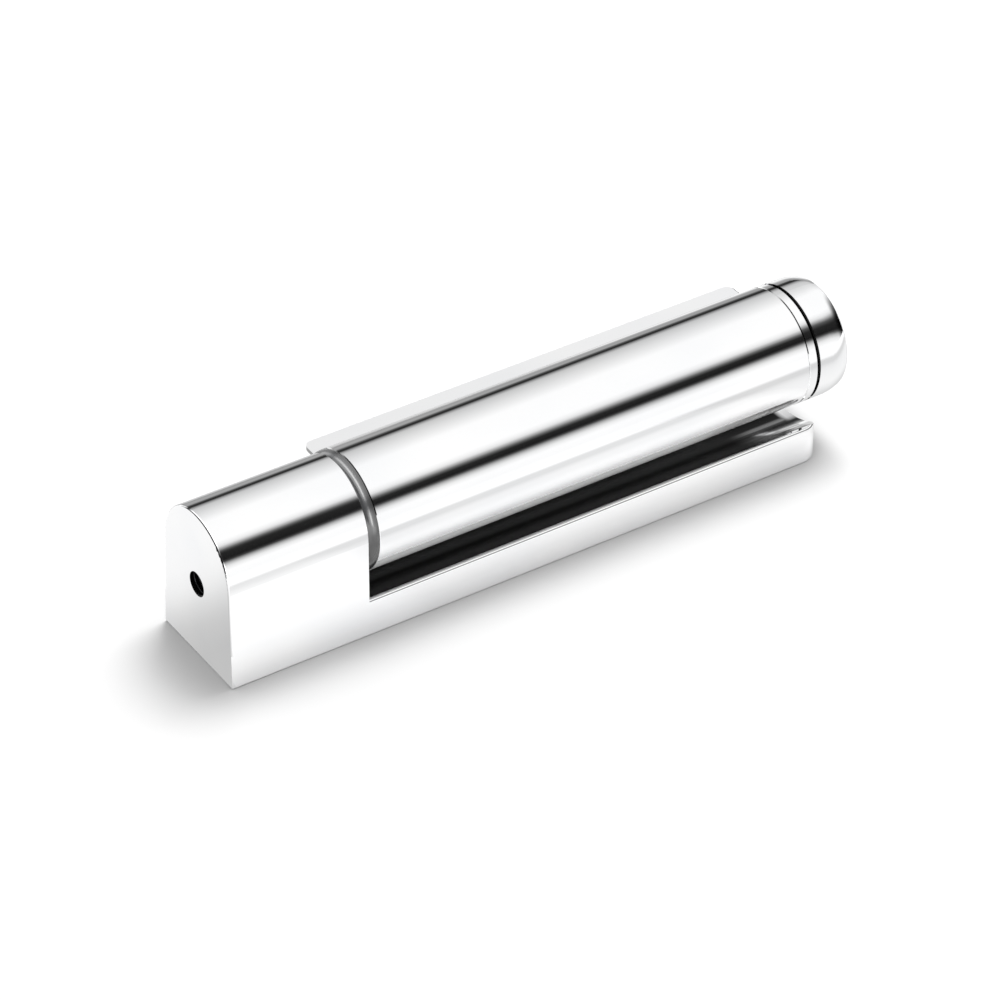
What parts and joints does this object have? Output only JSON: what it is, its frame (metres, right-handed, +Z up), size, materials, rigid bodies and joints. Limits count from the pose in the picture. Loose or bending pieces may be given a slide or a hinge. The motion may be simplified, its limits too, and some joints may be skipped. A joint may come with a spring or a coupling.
{
  "type": "rising hinge",
  "caption": "Chrome door hinge whose barrel rises on helical nylon cams as the door opens, on a narrow cradle base with an end block, and closes by itself.",
  "frame": {"origin": "centre of the base's flat mounting face", "axes": "+X along the hinge pin from the end block to the cap, +Z up out of the mounting face, +Y towards the door stile"},
  "size_m": [0.1623, 0.0314, 0.038],
  "materials": {
    "chrome": "polished",
    "steel": "turned",
    "black_steel": "blackened",
    "grey_nylon": "moulded, satin",
    "black_rubber": "moulded"
  },
  "bodies": {
    "frame": {"frame_body": "chrome", "hinge_pin": "steel", "pin_lock_screw": "black_steel", "lower_cam": "grey_nylon", "lower_cam_dowel": "steel", "guide_bush": "grey_nylon", "pin_washer": "steel", "pin_nut": "steel", "closing_spring": "steel"},
    "riser": {"spring_seat": "steel"},
    "leaf": {"leaf_body": "chrome", "upper_cam": "grey_nylon", "upper_cam_screw_1": "black_steel", "upper_cam_screw_2": "black_steel", "end_cap": "chrome", "cap_seal_ring": "black_rubber"}
  },
  "joints": [
    {"name": "leaf_rise", "type": "slide", "parent": "frame", "child": "riser", "axis": [1, 0, 0], "range_m": [0, 0.00825], "stiffness_N_per_m": 7070, "springref_m": -0.006, "deforming": ["closing_spring"]},
    {"name": "leaf_swing", "type": "hinge", "parent": "riser", "child": "leaf", "pos_m": [0, 0, 0.024], "axis": [1, 0, 0], "range_deg": [0, 110]}
  ],
  "couplings": [
    {"joint": "leaf_swing", "follows": "leaf_rise", "rad_per_m": 232.71}
  ]
}
